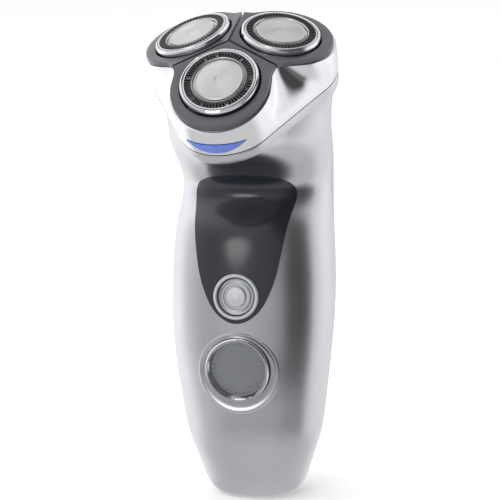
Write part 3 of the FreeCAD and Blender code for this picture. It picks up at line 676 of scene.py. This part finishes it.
displaySet = {
    "lean": -4.0, "dishOuter": 14.0, "dishInner": 11.05, "dishDrop": 1.3, "around": 128,
    "heights": (0.1, 0.5, 0.42, 0.06, -0.14, -0.24, -0.3, -0.33, -0.35),
    "start": 6.0, "wall": 0.3, "smooth": 60,
    "ticks": 36, "tickReach": 8.35, "tickLength": 0.9, "tickWidth": 0.42,
    "dots": [(3.6, -6.0), (6.0, -4.6)], "dotRadius": 0.42, "dotSides": 24,
    "inkDepth": 0.06, "inkEdge": 0.02, "inkLift": 1.08,
}


def displayPlace(look):
    low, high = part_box("display_bezel")
    lean = math.radians(look["lean"])
    return facing((low + high) / 2, (0, -math.cos(lean), math.sin(lean)))


def makeDish(look):
    # a shallow dish that follows the handle at its rim and sinks towards the bezel
    place = displayPlace(look)
    surround = copyAt(frame["nodes"]["display_surround"], "dishGuide", place.inverted())
    around = look["around"]
    steps = len(look["heights"]) - 1
    shrink = (look["dishInner"] - look["dishOuter"]) / steps
    profile = [(look["dishOuter"] + shrink * ring, look["start"]) for ring in range(steps + 1)]
    dish = ringStack("displayDish", profile, around, closedFoot=False)
    for ring in range(steps + 1):                 # the rings' middles move from the dish's to the bezel's
        for spot in dish.data.vertices[ring * around:(ring + 1) * around]:
            spot.co.y -= look["dishDrop"] * (1 - ring / steps) * mm
    pickOnly(dish)
    layOn(dish, surround, "z")
    for ring, lift in enumerate(look["heights"]):    # a rounded lip, then a hollow down to the bezel
        for spot in dish.data.vertices[ring * around:(ring + 1) * around]:
            spot.co.z += lift * mm
    thicken(dish, look["wall"])
    finishPiece(dish, look["smooth"])
    placeMesh(dish, place)
    bpy.data.objects.remove(surround)
    dress(dish, "handle", "silver", materials["silver"], "display_surround")


def softenMark(look):
    bpy.ops.object.mode_set(mode="EDIT")
    bpy.ops.mesh.select_all(action="SELECT")
    bpy.ops.mesh.bevel(offset=look["inkEdge"] * mm, segments=1, affect="EDGES")
    bpy.ops.object.mode_set(mode="OBJECT")


def makeTick(turn, look):
    deselectAll()
    bpy.ops.mesh.primitive_cube_add(size=1)
    tick = bpy.context.object
    tick.scale = (look["tickWidth"] * mm, look["tickLength"] * mm, look["inkDepth"] * mm)
    bpy.ops.object.transform_apply(location=False, rotation=False, scale=True)
    softenMark(look)
    placeMesh(tick, Matrix.Rotation(turn, 4, "Z") @ Matrix.Translation((0, look["tickReach"] * mm, 0)))
    return tick


def makeDot(x, y, look):
    deselectAll()
    bpy.ops.mesh.primitive_cylinder_add(
        vertices=look["dotSides"], radius=look["dotRadius"] * mm, depth=look["inkDepth"] * mm)
    dot = bpy.context.object
    softenMark(look)
    placeMesh(dot, Matrix.Translation((x * mm, y * mm, 0)))
    return dot


def makeMarks(look):
    low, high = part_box("lcd_module")
    face = displayPlace(look)
    face.translation = (low + high) / 2 + face.col[2].xyz * look["inkLift"] * mm
    marks = [makeTick(2 * math.pi * k / look["ticks"], look) for k in range(look["ticks"])]
    marks += [makeDot(x, y, look) for x, y in look["dots"]]
    ink = joinAs("displayMarks", marks)
    placeMesh(ink, face)
    dress(ink, "handle", "lcd", materials["lcdInk"])


makeDish(displaySet)
makeMarks(displaySet)
print("display dished and marked")


gripSet = {
    "ribs": 17, "spacing": 3.2, "middle": 56.0, "halfWidth": 6.6, "width": 1.3, "height": 0.55,
    "cuts": 14, "crossCuts": 4, "start": 60.0, "lift": 0.02,
    "edge": 0.2, "rounds": 2, "sharpness": 50, "smooth": 40,
}


def makeRib(level, look):
    deselectAll()
    bpy.ops.mesh.primitive_grid_add(x_subdivisions=look["cuts"], y_subdivisions=look["crossCuts"], size=1)
    rib = bpy.context.object
    start = Matrix.Translation((0, look["start"] * mm, level * mm))
    placeMesh(rib, Matrix.Diagonal((2 * look["halfWidth"] * mm, look["width"] * mm, 1, 1)))
    placeMesh(rib, start @ Matrix.Rotation(math.radians(90), 4, "X"))
    layOn(rib, frame["nodes"]["rear_grip"], "y", look["lift"])
    thicken(rib, look["height"], offset=0.0)
    roundEdges(rib, look["edge"], look["rounds"], look["sharpness"])
    return rib


def makeRibs(look):
    lowest = look["middle"] - look["spacing"] * (look["ribs"] - 1) / 2
    ribs = [makeRib(lowest + look["spacing"] * k, look) for k in range(look["ribs"])]
    bars = joinAs("gripRibs", ribs)
    finishPiece(bars, look["smooth"])
    dress(bars, "handle", "rubber", materials["rubber"])


makeRibs(gripSet)
print("grip ribbed")
